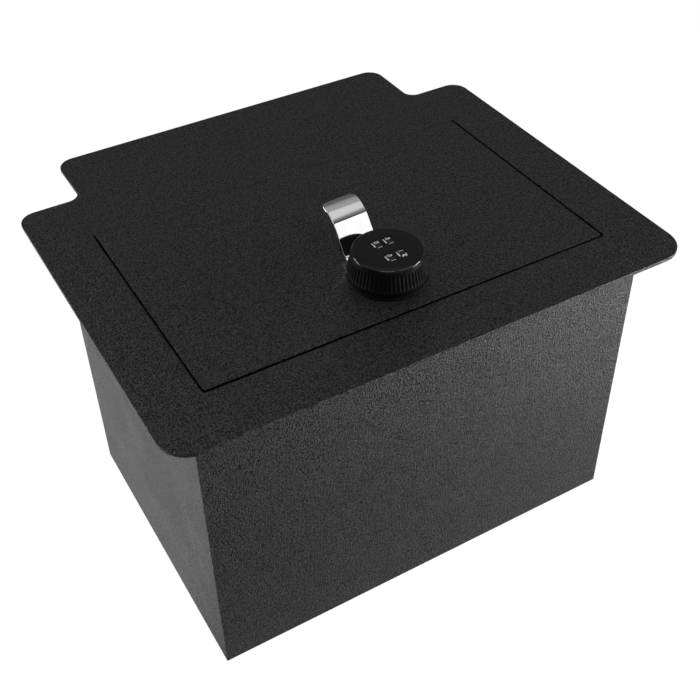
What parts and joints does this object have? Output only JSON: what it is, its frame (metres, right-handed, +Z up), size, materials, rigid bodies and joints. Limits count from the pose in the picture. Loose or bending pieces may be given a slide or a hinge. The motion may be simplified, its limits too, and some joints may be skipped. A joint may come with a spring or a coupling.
{
  "type": "console safe",
  "caption": "Sheet-steel safe that hangs in a console by its wide top plate, with a flush hinged lid, a curled finger pull and a round knob that holds code wheels and turns a cam.",
  "frame": {"origin": "on the ground under the floor panel, below the middle of the top plate", "axes": "+X to the right of a person who faces the lock, +Y away from that person towards the hinge and the tongue, +Z up out of the lid"},
  "size_m": [0.38, 0.332, 0.2691],
  "materials": {
    "powder_coat": "fine-textured matt black powder coat on steel sheet",
    "bright_steel": "mirror bright",
    "plain_steel": "zinc plated",
    "gloss_black": "gloss moulded black",
    "lock_body_black": "gloss black on a zinc casting",
    "die_cast": "as cast"
  },
  "bodies": {
    "box": {"top_plate": "powder_coat", "front_panel": "powder_coat", "rear_panel": "powder_coat", "left_panel": "powder_coat", "right_panel": "powder_coat", "floor_panel": "powder_coat", "hinge_channel": "powder_coat", "lid_rest_front": "powder_coat", "lid_rest_left": "powder_coat", "lid_rest_right": "powder_coat", "hinge_fixed_leaf": "plain_steel", "hinge_pin": "plain_steel", "hinge_rivet_1": "plain_steel", "hinge_rivet_2": "plain_steel", "hinge_rivet_3": "plain_steel", "hinge_rivet_4": "plain_steel", "hinge_rivet_5": "plain_steel"},
    "lid": {"lid_panel": "powder_coat", "hinge_lid_leaf": "plain_steel", "finger_pull": "bright_steel", "lock_body": "lock_body_black", "lock_washer": "plain_steel", "lock_nut": "plain_steel"},
    "knob": {"knob_cap": "gloss_black", "knob_core": "die_cast", "knob_screw_left": "plain_steel", "knob_screw_right": "plain_steel", "wheel_frame": "die_cast", "stop_washer": "plain_steel", "cam": "plain_steel", "cam_washer": "plain_steel", "cam_nut": "plain_steel", "wheel_axle_front": "plain_steel", "wheel_axle_rear": "plain_steel"},
    "wheel_1": {"number_wheel_1": "gloss_black"},
    "wheel_2": {"number_wheel_2": "gloss_black"},
    "wheel_3": {"number_wheel_3": "gloss_black"},
    "wheel_4": {"number_wheel_4": "gloss_black"}
  },
  "joints": [
    {"name": "lid_hinge", "type": "hinge", "parent": "box", "child": "lid", "pos_m": [0, 0.0455, 0.23585], "axis": [-1, 0, 0], "range_deg": [0, 105]},
    {"name": "knob_turn", "type": "hinge", "parent": "lid", "child": "knob", "pos_m": [0, -0.085, 0.242], "axis": [0, 0, -1], "range_deg": [0, 90]},
    {"name": "wheel_1_turn", "type": "hinge", "parent": "knob", "child": "wheel_1", "pos_m": [-0.0026, -0.0932, 0.2565], "axis": [1, 0, 0], "continuous": true},
    {"name": "wheel_2_turn", "type": "hinge", "parent": "knob", "child": "wheel_2", "pos_m": [0.006, -0.0932, 0.2565], "axis": [1, 0, 0], "continuous": true},
    {"name": "wheel_3_turn", "type": "hinge", "parent": "knob", "child": "wheel_3", "pos_m": [-0.0026, -0.0768, 0.2565], "axis": [1, 0, 0], "continuous": true},
    {"name": "wheel_4_turn", "type": "hinge", "parent": "knob", "child": "wheel_4", "pos_m": [0.006, -0.0768, 0.2565], "axis": [1, 0, 0], "continuous": true}
  ]
}
